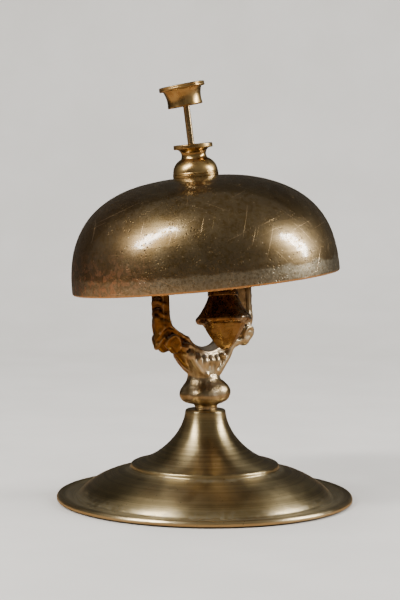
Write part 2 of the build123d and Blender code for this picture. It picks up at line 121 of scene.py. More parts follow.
# ---- node materials ----
SCRATCH_TURNS = ((0, 20, 35), (40, -30, -50), (-25, 65, 80))  # degrees, one set per direction


class Nodes:
    """Short forms for the node tree of a material or the world."""

    def __init__(self, owner):
        owner.use_nodes = True
        self.owner = owner
        self.tree = owner.node_tree
        self.shader = self.tree.nodes.get("Principled BSDF")

    def put(self, value, socket):
        """Links a socket to another one, or sets its plain value."""
        if isinstance(value, bpy.types.NodeSocket):
            self.tree.links.new(value, socket)
        elif socket.type == "RGBA":
            socket.default_value = (*value, 1)
        else:
            socket.default_value = value

    def node(self, kind, inputs, **settings):
        """Outputs of a new node with these settings and inputs."""
        node = self.tree.nodes.new("ShaderNode" + kind)
        for name, value in settings.items():
            setattr(node, name, value)
        for name, value in inputs.items():
            self.put(value, node.inputs[name])
        return node.outputs

    def local(self, place=UPRIGHT):
        """Coordinates in millimetres in a frame of the object."""
        metres = self.node("TexCoord", {})["Object"]
        whole = self.node("VectorMath", {0: metres, "Scale": 1 / MM}, operation="SCALE")[0]
        if place is UPRIGHT:
            return whole
        inverse = place.inverted()
        return self.node("Mapping", {"Vector": whole, "Location": inverse.translation / MM,
                                     "Rotation": inverse.to_euler()})[0]

    def stretch(self, vector, scale):
        return self.node("Mapping", {"Vector": vector, "Scale": scale})[0]

    def rotate(self, vector, angles):
        radians = [math.radians(a) for a in angles]
        return self.node("Mapping", {"Vector": vector, "Rotation": radians})[0]

    def split(self, vector):
        return self.node("SeparateXYZ", {0: vector})

    def noise(self, vector, size, detail=3.0, rough=0.55):
        """Noise with lumps about size millimetres across."""
        inputs = {"Vector": vector, "Scale": 1 / size, "Detail": detail, "Roughness": rough}
        return self.node("TexNoise", inputs)["Fac"]

    def dots(self, vector, size):
        """Distance to the nearest of scattered points, about size apart."""
        return self.node("TexVoronoi", {"Vector": vector, "Scale": 1 / size})["Distance"]

    def math(self, kind, a, b=0.0):
        return self.node("Math", {0: a, 1: b}, operation=kind)[0]

    def times(self, a, b):
        return self.math("MULTIPLY", a, b)

    def plus(self, a, b):
        return self.math("ADD", a, b)

    def rest(self, a):
        """What is left of 1."""
        return self.math("SUBTRACT", 1.0, a)

    def ramp(self, value, low, high, start=0.0, end=1.0):
        """Smooth change from start to end as value goes from low to high."""
        inputs = {"Value": value, "From Min": low, "From Max": high, "To Min": start, "To Max": end}
        return self.node("MapRange", inputs, interpolation_type="SMOOTHSTEP")["Result"]

    def fall(self, value, low, high):
        """1 below low, and 0 above high."""
        return self.ramp(value, low, high, 1.0, 0.0)

    def spread(self, value, start, end):
        """A noise value stretched to run from start to end."""
        return self.ramp(value, 0.3, 0.7, start, end)

    def mix(self, share, a, b):
        """Colour a where share is 0 and b where it is 1."""
        return self.node("Mix", {"Factor": share, "A": a, "B": b}, data_type="RGBA")["Result"]

    def patches(self, value, dark, light):
        """Dark colour where a noise value is low and light where it is high."""
        return self.mix(self.ramp(value, 0.35, 0.65), dark, light)

    def stain(self, colour, mask, strength, other):
        """The colour with another one laid over it where mask is 1."""
        return self.mix(self.times(mask, strength), colour, other)

    def hollows(self, level):
        """1 in the hollows of the mesh and 0 on flats and edges."""
        return self.fall(self.node("NewGeometry", {})["Pointiness"], 0.42, level)

    def edges(self, low=0.51, high=0.58):
        """1 on the raised edges of the mesh."""
        return self.ramp(self.node("NewGeometry", {})["Pointiness"], low, high)

    def upward(self, low, high):
        """1 on faces that look up and 0 on the rest."""
        return self.ramp(self.split(self.node("NewGeometry", {})["Normal"])[2], low, high)

    def mirrored(self, seen, reflected):
        """One colour for the camera and another for mirror-like rays."""
        return self.mix(self.node("LightPath", {})["Is Glossy Ray"], seen, reflected)

    def radius(self, vector):
        x, y, _ = self.split(vector)
        return self.math("SQRT", self.plus(self.times(x, x), self.times(y, y)))

    def turned(self, vector):
        """Coordinates that stay the same all round the upright axis."""
        return self.node("CombineXYZ", {0: self.radius(vector), 1: self.split(vector)[2]})[0]

    def scratches(self, vector, width, length, amount):
        """Thin straight scratches in three directions, as a mask."""
        total = 0.0
        for angles in SCRATCH_TURNS:
            sheets = self.stretch(self.rotate(vector, angles), (1 / length, 1 / length, 1 / width))
            line = self.ramp(self.noise(sheets, 1.0, 0.0), 1 - amount, 1.07 - amount)
            total = self.math("MAXIMUM", line, total)
        return total

    def bump(self, *layers):
        """Bump from layers of height and depth in millimetres."""
        below = {}
        for height, depth in layers:
            bumped = self.node("Bump", {"Height": height, "Distance": depth * MM} | below)
            below = {"Normal": bumped["Normal"]}
        self.put(below["Normal"], self.shader.inputs["Normal"])

    def surface(self, colour, metallic, roughness, others=None):
        """Fills in the shader, with any other inputs by name, and gives the material."""
        inputs = {"Base Color": colour, "Metallic": metallic, "Roughness": roughness} | (others or {})
        for name, value in inputs.items():
            self.put(value, self.shader.inputs[name])
        return self.owner


def look(name):
    return Nodes(bpy.data.materials.new(name))


def bell_material():
    """Olive-brown patina with pits, coppery spots, scratches and a greyer band at the rim."""
    n = look("bell_brass")
    here = n.local(BELL)
    x, y, height = n.split(here)
    cloud = n.noise(here, 8.0, 4.0, 0.6)
    grain = n.noise(here, 0.55, 3.0, 0.8)
    colour = n.patches(n.noise(here, 30.0), (0.17, 0.113, 0.046), (0.24, 0.17, 0.08))
    colour = n.mix(n.ramp(cloud, 0.42, 0.66, 0.0, 0.4), colour, (0.36, 0.275, 0.15))
    colour = n.mix(n.ramp(grain, 0.42, 0.68, 0.0, 0.3), colour, (0.12, 0.08, 0.04))

    wavy = n.plus(height, n.times(n.noise(here, 9.0), 6.0))
    band = n.times(n.fall(wavy, 9.0, 10.5), n.ramp(n.noise(here, 1.3, 4.0, 0.7), 0.36, 0.6, 0.3, 0.85))
    colour = n.mix(band, colour, (0.58, 0.52, 0.38))

    left = n.times(n.fall(x, -44.0, -14.0), n.fall(y, 2.0, 22.0))
    copper = n.times(left, n.fall(height, 6.0, 22.0))
    copper = n.times(copper, n.ramp(n.noise(here, 2.6, 3.0, 0.65), 0.47, 0.6))
    colour = n.stain(colour, left, 0.35, (0.34, 0.19, 0.08))
    colour = n.stain(colour, copper, 0.75, (0.7, 0.36, 0.2))

    sparse = n.ramp(n.noise(here, 6.0, 2.0), 0.45, 0.62)
    pits = n.times(n.fall(n.dots(here, 1.3), 0.16, 0.34), sparse)
    specks = n.fall(n.dots(n.rotate(here, (30, 50, 10)), 2.8), 0.06, 0.13)
    scratch = n.scratches(here, 0.3, 24.0, 0.21)
    lip = n.fall(height, 0.5, 1.1)
    colour = n.stain(colour, pits, 0.7, (0.06, 0.04, 0.022))
    colour = n.stain(colour, specks, 0.6, (0.85, 0.66, 0.4))
    colour = n.stain(colour, scratch, 0.55, (0.95, 0.68, 0.4))
    colour = n.stain(colour, lip, 0.85, (0.85, 0.45, 0.17))

    rough = n.plus(n.spread(grain, 0.27, 0.4), n.times(pits, 0.3))
    worn = n.times(n.ramp(n.noise(here, 2.2, 4.0, 0.75), 0.4, 0.52), n.rest(pits))
    film = {"Coat IOR": 1.9, "Coat Weight": n.times(worn, 0.85),
            "Coat Roughness": n.spread(grain, 0.07, 0.17)}
    n.bump((pits, -0.06), (scratch, -0.015), (grain, 0.006), (cloud, 0.06))
    return n.surface(colour, 1.0, rough, film)


def foot_material():
    """Satin brass with fine lathe rings, darker patches, pale grime in the cove and dish, and a
    painted pale highlight along the rim.
    """
    n = look("foot_brass")
    here = n.local()
    turned, radius = n.turned(here), n.radius(here)
    rings = n.noise(turned, 0.33, 4.0, 0.75)
    wide_rings = n.noise(turned, 1.5, 3.0, 0.7)
    broken = n.noise(n.stretch(here, (0.35, 0.35, 3.2)), 1.6, 4.0, 0.6)
    cloud = n.noise(here, 14.0, 4.0)
    colour = n.mix(n.ramp(cloud, 0.35, 0.68), (0.48, 0.385, 0.2), (0.62, 0.51, 0.28))
    colour = n.mix(n.ramp(rings, 0.35, 0.7, 0.0, 0.4), colour, (0.8, 0.66, 0.39))
    colour = n.mix(n.ramp(wide_rings, 0.42, 0.6, 0.0, 0.5), colour, (0.35, 0.27, 0.14))
    colour = n.mix(n.ramp(broken, 0.55, 0.72, 0.0, 0.3), colour, (0.27, 0.2, 0.1))

    dish = n.times(n.ramp(radius, 51.0, 54.5), n.fall(radius, 58.5, 61.5))
    cove = n.times(n.ramp(radius, 31.8, 32.4), n.fall(radius, 33.0, 36.0))
    dirty = n.ramp(n.noise(here, 2.2, 4.0, 0.7), 0.38, 0.7, 0.1, 0.8)
    grime = n.times(n.math("MAXIMUM", dish, cove), dirty)
    # Painted highlight: a pale gold line on the rim edge stands in for the lit floor reflected there.
    rim = n.ramp(radius, 61.6, 62.6)
    pits = n.times(n.fall(n.dots(here, 1.9), 0.06, 0.16), n.ramp(n.noise(here, 6.0), 0.5, 0.62))
    colour = n.stain(colour, grime, 0.7, (0.44, 0.41, 0.33))
    # The painted highlight along the rim edge.
    colour = n.stain(colour, rim, 0.7, (0.82, 0.68, 0.42))
    colour = n.stain(colour, pits, 0.8, (0.09, 0.066, 0.035))

    rough = n.plus(n.spread(cloud, 0.28, 0.36), n.times(grime, 0.12))
    round_axis = n.node("Tangent", {}, direction_type="RADIAL", axis="Z")[0]
    brushed = {"Anisotropic": 0.75, "Anisotropic Rotation": 0.25, "Tangent": round_axis}
    n.bump((rings, 0.018), (wide_rings, 0.03), (pits, -0.05), (broken, 0.012))
    return n.surface(colour, n.rest(n.times(grime, 0.2)), rough, brushed)


def cast_material():
    """Old cast brass: orange-brown on one side, rubbed silvery on the other, dusty on top; the arms
    are painted darker towards the bell as shade.
    """
    n = look("cast_brass")
    here = n.local()
    x, _, height = n.split(here)
    cloud = n.noise(here, 6.0, 4.0)
    skin = n.noise(here, 0.8, 4.0, 0.65)
    brown = n.patches(cloud, (0.2, 0.085, 0.018), (0.32, 0.155, 0.04))
    pale = n.patches(cloud, (0.52, 0.42, 0.26), (0.70, 0.58, 0.40))
    place = n.plus(x, n.times(n.noise(here, 5.0), 8.0))
    place = n.plus(place, n.ramp(height, 48.0, 56.0, 8.0, 0.0))
    colour = n.mix(n.ramp(place, -6.5, 0.0), brown, pale)

    # Painted shade: the arms darken towards their tops, where the bell shades them.
    shaded = n.ramp(height, 74.0, 92.0, 0.0, 0.6)
    knop = n.times(n.fall(height, 51.0, 56.0), n.ramp(cloud, 0.3, 0.65, 0.85, 0.3))
    colour = n.mix(shaded, colour, (0.09, 0.04, 0.012))
    colour = n.mix(knop, colour, (0.24, 0.155, 0.06))
    colour = n.stain(colour, n.hollows(0.495), 0.9, (0.05, 0.025, 0.01))
    colour = n.stain(colour, n.edges(0.505, 0.56), 0.5, (0.68, 0.53, 0.32))

    dust = n.times(n.upward(0.5, 0.85), n.ramp(height, 52.0, 56.0))
    dust = n.times(dust, n.ramp(skin, 0.3, 0.6, 0.4, 0.8))
    colour = n.mix(dust, colour, (0.36, 0.33, 0.28))
    n.bump((skin, 0.07), (n.noise(here, 2.6, 2.0), 0.16))
    rough = n.plus(n.spread(skin, 0.27, 0.42), n.times(dust, 0.3))
    return n.surface(colour, n.rest(n.times(dust, 0.6)), rough)


def head_material():
    """Hammer head: cup painted almost black as shade under the bell, with a painted grey sheen on its
    right side, over a brown nut.
    """
    n = look("head_brass")
    here = n.local(HEAD)
    height = n.split(here)[2]
    cloud = n.noise(here, 3.0, 4.0)
    nut = n.patches(cloud, (0.23, 0.125, 0.042), (0.38, 0.235, 0.095))
    # Painted shade: the cup above the lip is painted almost black for the shade and dark reflections
    # inside the bell.
    cup = n.patches(cloud, (0.15, 0.065, 0.025), (0.32, 0.16, 0.06))
    # Painted highlight: a grey sheen painted on the cup's right side, where the light catches it.
    right_side_sheen = n.times(n.ramp(n.split(n.local())[0], 11.0, 15.0),
                     n.ramp(n.noise(here, 1.1, 4.0), 0.35, 0.6))
    cup = n.mix(right_side_sheen, cup, (0.45, 0.39, 0.3))
    # The shaded copy above the lip, the lit brown nut below it.
    colour = n.mix(n.ramp(height, -1.4, -0.6), nut, cup)
    colour = n.stain(colour, n.edges(), 0.5, (0.7, 0.55, 0.33))
    n.bump((n.noise(here, 0.7, 4.0), 0.03), (cloud, 0.08))
    return n.surface(colour, 1.0, n.spread(cloud, 0.22, 0.36))


def turned_material(name, place):
    """Worn polished brass with turning lines round its own axis."""
    n = look(name)
    here = n.local(place)
    rings = n.noise(n.turned(here), 0.22, 3.0, 0.7)
    cloud = n.noise(here, 5.0, 4.0)
    smear = n.noise(n.stretch(here, (0.5, 0.5, 2.5)), 1.3)
    colour = n.patches(cloud, (0.46, 0.29, 0.115), (0.66, 0.46, 0.2))
    colour = n.mix(n.ramp(smear, 0.5, 0.75, 0.0, 0.3), colour, (0.23, 0.145, 0.0575))
    colour = n.stain(colour, n.hollows(0.49), 0.7, (0.1, 0.055, 0.025))
    n.bump((rings, 0.004), (n.noise(here, 1.5, 2.0), 0.004))
    return n.surface(colour, 1.0, n.spread(cloud, 0.22, 0.34))


def plain_metal(name, light, dark, polished, dull):
    """Machined metal with uneven dulling, between two roughnesses."""
    n = look(name)
    here = n.local()
    grain = n.noise(here, 0.5, 3.0, 0.7)
    colour = n.patches(n.noise(here, 3.5, 4.0), dark, light)
    colour = n.stain(colour, n.edges(), 0.5, [min(1, 1.4 * c) for c in light])
    n.bump((grain, 0.004), (n.scratches(here, 0.12, 6.0, 0.24), -0.006))
    return n.surface(colour, 1.0, n.spread(grain, polished, dull))


def felt_material():
    """Black felt, fibrous and matt."""
    n = look("felt")
    fibre = n.noise(n.stretch(n.local(), (1.0, 1.0, 4.0)), 0.35, 6.0, 0.8)
    colour = n.mix(n.spread(fibre, 0.0, 1.0), (0.012, 0.012, 0.011), (0.05, 0.048, 0.042))
    n.bump((fibre, 0.12))
    return n.surface(colour, 0.0, 0.95, {"Sheen Weight": 0.4})


def leather_material():
    """Old brown leather with a pebbled grain."""
    n = look("leather")
    grain = n.dots(n.local(), 0.55)
    cloud = n.noise(n.local(), 2.5)
    colour = n.patches(cloud, (0.06, 0.03, 0.015), (0.14, 0.075, 0.038))
    n.bump((grain, 0.06), (cloud, 0.1))
    return n.surface(colour, 0.0, n.ramp(grain, 0.0, 0.6, 0.75, 0.5))


# ---- meshes ----
def add_object(name, vertices, faces, material, merge=False):
    """A smooth-shaded mesh object from vertices in metres, with its faces turned outwards."""
    mesh = bpy.data.meshes.new(name)
    mesh.from_pydata([tuple(v) for v in vertices], [], faces)
    work = bmesh.new()
    work.from_mesh(mesh)
    if merge:
        bmesh.ops.remove_doubles(work, verts=work.verts, dist=1e-7)
        bmesh.ops.dissolve_degenerate(work, edges=work.edges, dist=1e-8)
    bmesh.ops.recalc_face_normals(work, faces=work.faces)
    work.to_mesh(mesh)
    work.free()
    mesh.shade_smooth()
    mesh.materials.append(material)
    item = bpy.data.objects.new(name, mesh)
    bpy.context.scene.collection.objects.link(item)
    return item


def round_points(r, a, z):
    """Points from radius, angle in radians and height."""
    r, a, z = np.broadcast_arrays(r, a, z)
    return np.stack([r * np.cos(a), r * np.sin(a), z], -1)


def placed(place, points):
    """Points of a frame, in metres in the row frame."""
    flat = points.reshape(-1, 3) * MM
    return flat @ np.array(place.to_3x3()).T + np.array(place.translation)


def grid_faces(rows, count, closed):
    """Quads of a grid that closes round its columns, and along its rows too if closed."""
    grid = np.arange(rows * count).reshape(rows, count)
    above = np.roll(grid, -1, 0)
    quads = np.stack([grid, np.roll(grid, -1, 1), np.roll(above, -1, 1), above], -1)
    return quads[:rows if closed else rows - 1].reshape(-1, 4).tolist()


def angles_round(count):
    return np.arange(count) * 2 * math.pi / count


# ---- turned pieces ----
CUT_TURN = 0.37  # radians; the outline is read away from the seam of the CAD mesh
SHARP = math.radians(22)
SHORTEST = 0.08  # shortest stretch kept in an outline


def outline_of(node, place):
    """(r, z) outline of a turned CAD node, where a half plane cuts its mesh."""
    mesh = bmesh.new()
    mesh.from_mesh(NODES[node].data)
    mesh.transform(Matrix.Scale(1 / MM, 4) @ Matrix.Rotation(-CUT_TURN, 4, "Z") @ place.inverted())
    bmesh.ops.remove_doubles(mesh, verts=mesh.verts, dist=1e-4)
    everything = list(mesh.verts) + list(mesh.edges) + list(mesh.faces)
    cut = bmesh.ops.bisect_plane(mesh, geom=everything, plane_co=(0, 0, 0), plane_no=(0, 1, 0))
    neighbours = {}
    for edge in cut["geom_cut"]:
        if isinstance(edge, bmesh.types.BMEdge) and edge.verts[0].co.x + edge.verts[1].co.x > 0:
            a, b = edge.verts
            neighbours.setdefault(a, []).append(b)
            neighbours.setdefault(b, []).append(a)
    ends = [v for v, others in neighbours.items() if len(others) == 1]
    start = max(ends, key=lambda v: v.co.z) if ends else max(neighbours, key=lambda v: v.co.x)
    chain, previous = [start], None
    while True:
        options = [v for v in neighbours[chain[-1]] if v is not previous]
        if not options or options[0] is start:
            break
        previous = chain[-1]
        chain.append(options[0])
    points = [np.array((max(v.co.x, 0.0), v.co.z)) for v in chain]
    mesh.free()
    return points, not ends


def eased(points, closed, radius):
    """The outline with a tiny round on each sharp corner."""
    count = len(points)
    out = []
    for i, spot in enumerate(points):
        if not closed and i in (0, count - 1):
            out.append(spot)
            continue
        before, after = points[i - 1] - spot, points[(i + 1) % count] - spot
        la, lb = np.linalg.norm(before), np.linalg.norm(after)
        if la < 1e-6 or lb < 1e-6:
            continue
        bend = math.pi - math.acos(np.clip(before @ after / (la * lb), -1, 1))
        if bend < SHARP:
            out.append(spot)
            continue
        back = min(radius, la * 0.45, lb * 0.45)
        a, b = spot + before / la * back, spot + after / lb * back
        out += [a, (a + 2 * spot + b) / 4, b]
    return out


def refined(points, closed, step):
    """The outline with long stretches divided and very short ones dropped."""
    pairs = list(zip(points, points[1:] + points[:1]))
    out = []
    for a, b in pairs if closed else pairs[:-1]:
        pieces = max(1, math.ceil(np.linalg.norm(b - a) / step))
        for k in range(pieces):
            spot = a + (b - a) * k / pieces
            if not out or np.linalg.norm(spot - out[-1]) > SHORTEST:
                out.append(spot)
    if not closed:
        out.append(points[-1])
    return np.array(out)


def outward_normals(outline, closed):
    """Unit normals of an outline, away from the material."""
    tangent = np.roll(outline, -1, 0) - np.roll(outline, 1, 0)
    if closed:
        after = np.roll(outline, -1, 0)
        inward = np.sum(outline[:, 0] * after[:, 1] - after[:, 0] * outline[:, 1]) < 0
    else:
        tangent[0], tangent[-1] = outline[1] - outline[0], outline[-1] - outline[-2]
        inward = outline[0, 1] >= outline[-1, 1]
    tangent /= np.linalg.norm(tangent, axis=1)[:, None]
    normal = np.stack([tangent[:, 1], -tangent[:, 0]], 1)
    return -normal if inward else normal


def spun(name, node, place, material, count, step, ease, shape):
    """A turned piece with fine faces. shape(r, angle, z, normal) gives extra height."""
    points, closed = outline_of(node, place)
    outline = refined(eased(points, closed, ease), closed, step)
    normal = outward_normals(outline, closed)[:, None, :]
    r, a = np.broadcast_arrays(outline[:, :1], angles_round(count)[None])
    z = np.broadcast_to(outline[:, 1:], r.shape)
    lift = shape(r, a, z, normal)
    spots = round_points(r + lift * normal[..., 0], a, z + lift * normal[..., 1])
    faces = grid_faces(len(outline), count, closed)
    return add_object(name, placed(place, spots), faces, material, merge=True)


POST_HOLE_R = 11.0  # the top of the dome stays plain inside this
STEP_R, RIM_R = 31.6, 63.2
NUT_FLATS = 6
HEAD_TOP_R = 4.4  # the hammer head's flat top, round the lever


def bell_shape(r, a, z, normal):
    """Uneven old dome: wide soft dents outside, a few small ones, and a slightly chewed rim."""
    outside = (normal[..., 0] * r + normal[..., 1] * np.maximum(z, 0) > 0) & (r > POST_HOLE_R)
    spots = round_points(r, a, z)
    x = spots[..., 0]
    dents = 0.10 * noise(spots, 16.0, 3) + 0.035 * noise(spots, 6.0, 4)
    fuller = 0.35 * smoothstep(8, 40, -x) * smoothstep(20, 40, z)
    flatter = 0.3 * smoothstep(10, 40, x) * smoothstep(20, 40, z)
    rim = 0.05 * dips(spots, 3.0, 5, 0) * smoothstep(2.5, 0.5, z)
    return np.where(outside, dents + fuller - flatter - rim, 0.0)


def foot_shape(r, a, z, normal):
    """Tool rings on the turned faces and nicks along the step and the rim."""
    outside = (normal[..., 1] > 0.05) | ((normal[..., 0] > 0.5) & (r > 20))
    spots = round_points(r, a, z)
    rings = 0.012 * noise(np.stack([r, z, 0 * r], -1), 1.1, 7)
    step = 0.15 * np.exp(-((r - STEP_R) / 0.5) ** 2) * dips(spots, 2.2, 8, 0.35)
    rim = 0.25 * np.exp(-((r - RIM_R) / 0.7) ** 2) * dips(spots, 3.5, 9, 0.3)
    wave = 0.05 * noise(spots, 18.0, 10) * (z > 3.5)
    return np.where(outside & (r < RIM_R + 0.4), rings - step - rim + wave, 0.0)


def small_shape(seed):
    """Slight wear on a small turned piece."""
    def shape(r, a, z, normal):
        spots = round_points(r, a, z)
        bore = (normal[..., 0] < -0.3) | (r < 3.0)
        wear = 0.015 * noise(spots, 4.0, seed) - 0.03 * dips(spots, 1.4, seed + 1, 0.35)
        return np.where(bore, 0.0, wear)
    return shape


def head_shape(r, a, z, normal):
    """Worn acorn: an uneven lip over a nut filed into a few rough flats."""
    flat = 2 * math.pi / NUT_FLATS
    turn_in = np.cos(flat / 2) / np.cos((a + 0.35) % flat - flat / 2) - 1
    flats = smoothstep(-1.6, -3.5, z) * 0.5 * r * turn_in
    spots = round_points(r, a, z)
    lip = 0.4 * smoothstep(2.5, 0.8, z) * smoothstep(-1.6, -0.6, z) * noise(spots, 4.0, 39)
    wear = 0.1 * noise(spots, 3.5, 37) - 0.15 * dips(spots, 1.6, 38, 0.3)
    return np.where((r < HEAD_TOP_R) & (z > 0), 0.0, wear + flats + lip)


# ---- the cast yoke, as a distance field in its own frame ----
VOXEL = 0.34
U_END, V_END = 28.5, 12.0  # half the width and depth of the field
LOW_END, HIGH_END = -1.2, 93.5
FAR = 99.0

ARM_U, ARM_T, ARM_HALF_W = 23.4, 2.6, 4.1
ARM_LOW, ARM_TOP = 33.0, 96.0
PAD_LOW, PAD_HALF_U, PAD_HALF_V = 84.5, 2.7, 3.6
RIB_FIRST, RIB_PITCH, RIB_COUNT = 39.4, 4.5, 12
RIB_ARCH = 0.13  # how fast a rib drops away from the middle
CRADLE_R, CRADLE_H = 10.5, 37.5
STUD_BORE_R, STUD_BORE_TOP = 3.08, FOOT_TOP + 8.2
SCREW_BORE_R, SCREW_BORE_LOW = 1.58, BRIDGE_BOTTOM - 6.6

# half section of the knop and neck: radius, height
KNOP = ((0, -0.5), (4.9, -0.5), (4.7, 1.0), (5.0, 2.6), (7.0, 3.4), (8.9, 4.3), (9.8, 5.3),
        (10.1, 6.6), (9.7, 8.2), (8.8, 10.0), (7.8, 11.8), (7.0, 13.4), (6.6, 15.0), (0, 15.0))
# lumps that make it crooked: centre, radii
KNOP_LUMPS = (((2.6, -3.6, 7.6), (6.2, 6.2, 5.0)), ((-4.4, -3.4, 6.9), (5.2, 5.2, 3.9)),
              ((4.6, 3.6, 7.2), (4.8, 5.2, 4.4)), ((-4.4, 4.2, 6.9), (5.2, 4.6, 4.0)))
# the calyx is oval: height, half width, half depth
CALYX_H = (12.5, 14.6, 17.0, 20.0, 23.5, 27.0, 31.0, 35.0)
CALYX_U = (6.6, 6.9, 8.4, 12.0, 15.4, 18.0, 21.0, 22.4)
CALYX_V = (5.8, 5.6, 5.2, 4.9, 4.7, 4.5, 4.3, 4.2)
CALYX_TOP = 32.5
# each leaf: u at its top, height of its top, u at its foot, thickness
LEAVES = ((-11.0, 25.4, -4.4, 1.5), (-7.4, 23.7, -3.0, 1.3), (-4.0, 22.2, -2.0, 1.7),
          (-0.5, 22.5, -0.6, 1.2), (2.7, 22.0, 1.0, 1.55))
LEAF_FOOT = 15.8


class Field:
    """Distance field over the yoke's box; shapes are joined or cut with a soft edge."""

    def __init__(self, low, high, step):
        self.axes = [np.arange(a, b + step, step) for a, b in zip(low, high)]
        self.step = step
        self.values = np.full([len(a) for a in self.axes], 9.0, np.float32)

    def window(self, low, high):
        """Slices and coordinates of the part of the grid between two corners."""
        cuts = []
        for axis, a, b in zip(self.axes, low, high):
            first = max(0, int(np.searchsorted(axis, a)) - 1)
            last = min(len(axis), int(np.searchsorted(axis, b)) + 1)
            cuts.append(slice(first, max(last, first + 1)))
        grids = np.meshgrid(*[axis[c] for axis, c in zip(self.axes, cuts)], indexing="ij")
        return tuple(cuts), grids

    def apply(self, distance, low, high, soft, cut=False):
        """Joins a shape that lies between two corners, or cuts it away."""
        margin = 2 * soft + 1.0
        cuts, grids = self.window(np.array(low) - margin, np.array(high) + margin)
        sign = -1 if cut else 1
        there = sign * distance(*grids).astype(np.float32)
        here = self.values[cuts]
        share = np.clip(0.5 + 0.5 * sign * (here - there) / soft, 0, 1)
        self.values[cuts] = here * (1 - share) + there * share - sign * soft * share * (1 - share)

    def stroke(self, points, radii, soft, cut=False):
        """A round rod through points, with a radius at each."""
        points, radii = np.array(points, float), np.array(radii, float)

        def distance(u, v, h):
            best = np.full(u.shape, FAR)
            for a, b, ra, rb in zip(points, points[1:], radii, radii[1:]):
                line = b - a
                pu, pv, ph = u - a[0], v - a[1], h - a[2]
                share = (pu * line[0] + pv * line[1] + ph * line[2]) / max(line @ line, 1e-9)
                share = np.clip(share, 0, 1)
                gap = (pu - share * line[0]) ** 2 + (pv - share * line[1]) ** 2
                gap = np.sqrt(gap + (ph - share * line[2]) ** 2)
                best = np.minimum(best, gap - (ra + (rb - ra) * share))
            return best
        self.apply(distance, points.min(0) - radii.max(), points.max(0) + radii.max(), soft, cut)

    def rope(self, points, start, end, soft=0.6, cut=False, middle=None):
        """A smooth rod through a few points; it tapers, and may swell in the middle."""
        path = curve_points(points)
        share = np.linspace(0, 1, len(path))
        radii = start + (end - start) * share
        if middle:
            radii = radii + (middle - (start + end) / 2) * np.sin(math.pi * share)
        self.stroke(path, radii, soft, cut)

    def ball(self, centre, radii, soft=0.5, cut=False):
        centre, radii = np.array(centre, float), np.array(radii, float)

        def distance(u, v, h):
            scaled = [((p - c) / r) ** 2 for p, c, r in zip((u, v, h), centre, radii)]
            return (np.sqrt(sum(scaled)) - 1) * radii.min()
        self.apply(distance, centre - radii, centre + radii, soft, cut)


class Corner:
    """One quarter of the casting; shapes are written for +u and +v and mirrored to it."""

    def __init__(self, field, side, face):
        self.field = field
        self.signs = (side, face, 1)

    def mirror(self, spot):
        return [sign * c for sign, c in zip(self.signs, spot)]

    def rope(self, points, *sizes, **how):
        self.field.rope([self.mirror(p) for p in points], *sizes, **how)

    def ball(self, centre, *sizes, **how):
        self.field.ball(self.mirror(centre), *sizes, **how)


def curve_points(points, count=12):
    """Points along a smooth curve through a few (u, v, h) points."""
    points = np.array(points, float)
    before = 2 * points[0] - points[1]
    after = 2 * points[-1] - points[-2]
    spots = np.vstack([before, points, after])
    spans = len(points) - 1
    path = []
    for t in np.linspace(0, spans, count):
        i = min(int(t), spans - 1)
        s = t - i
        a, b, c, d = spots[i:i + 4]
        path.append(0.5 * (2 * b + (c - a) * s + (2 * a - 5 * b + 4 * c - d) * s ** 2
                           + (3 * b - a - 3 * c + d) * s ** 3))
    return path


def section_distance(r, h, section):
    """Signed distance to a closed (radius, height) outline."""
    loop = np.array(section, float)
    best = np.full(r.shape, FAR)
    inside = np.zeros(r.shape, bool)
    for a, b in zip(loop, np.roll(loop, -1, 0)):
        line = b - a
        share = ((r - a[0]) * line[0] + (h - a[1]) * line[1]) / max(line @ line, 1e-9)
        share = np.clip(share, 0, 1)
        best = np.minimum(best, np.hypot(r - a[0] - share * line[0], h - a[1] - share * line[1]))
        if abs(line[1]) > 1e-9:
            crosses = (a[1] > h) != (b[1] > h)
            inside ^= crosses & (r < a[0] + (h - a[1]) * line[0] / line[1])
    return np.where(inside, -best, best)


def carve_knop(field):
    """Onion-shaped swelling below the calyx, crooked and lumpy, and the rough neck."""
    lean = math.tan(math.radians(KNOP_LEAN))
    du, dv = -lean * math.cos(math.radians(YAW)), lean * math.sin(math.radians(YAW))

    def leaning(u, v, h):
        return section_distance(np.hypot(u - du * h, v - dv * h), h, KNOP)
    field.apply(leaning, (-12, -12, -1), (12, 12, 16), 0.3)
    for centre, radii in KNOP_LUMPS:
        field.ball(centre, radii, 2.0)


def carve_calyx(field):
    """Cup that spreads from the waist to the shoulders."""
    def cup(u, v, h):
        a = np.interp(h, CALYX_H, CALYX_U)
        b = np.interp(h, CALYX_H, CALYX_V)
        side = (np.hypot(u / a, v / b) - 1) * b
        return np.maximum(side, np.maximum(CALYX_H[0] - h, h - CALYX_TOP))
    field.apply(cup, (-23, -7, 12), (23, 7, 34), 0.9)


def on_calyx(angle, h, lift):
    """A point over the calyx; angle runs from 0 at the end of its long axis to 90 at its face."""
    a = np.interp(h, CALYX_H, CALYX_U) + lift
    b = np.interp(h, CALYX_H, CALYX_V) + lift
    return (a * math.cos(math.radians(angle)), b * math.sin(math.radians(angle)), h)


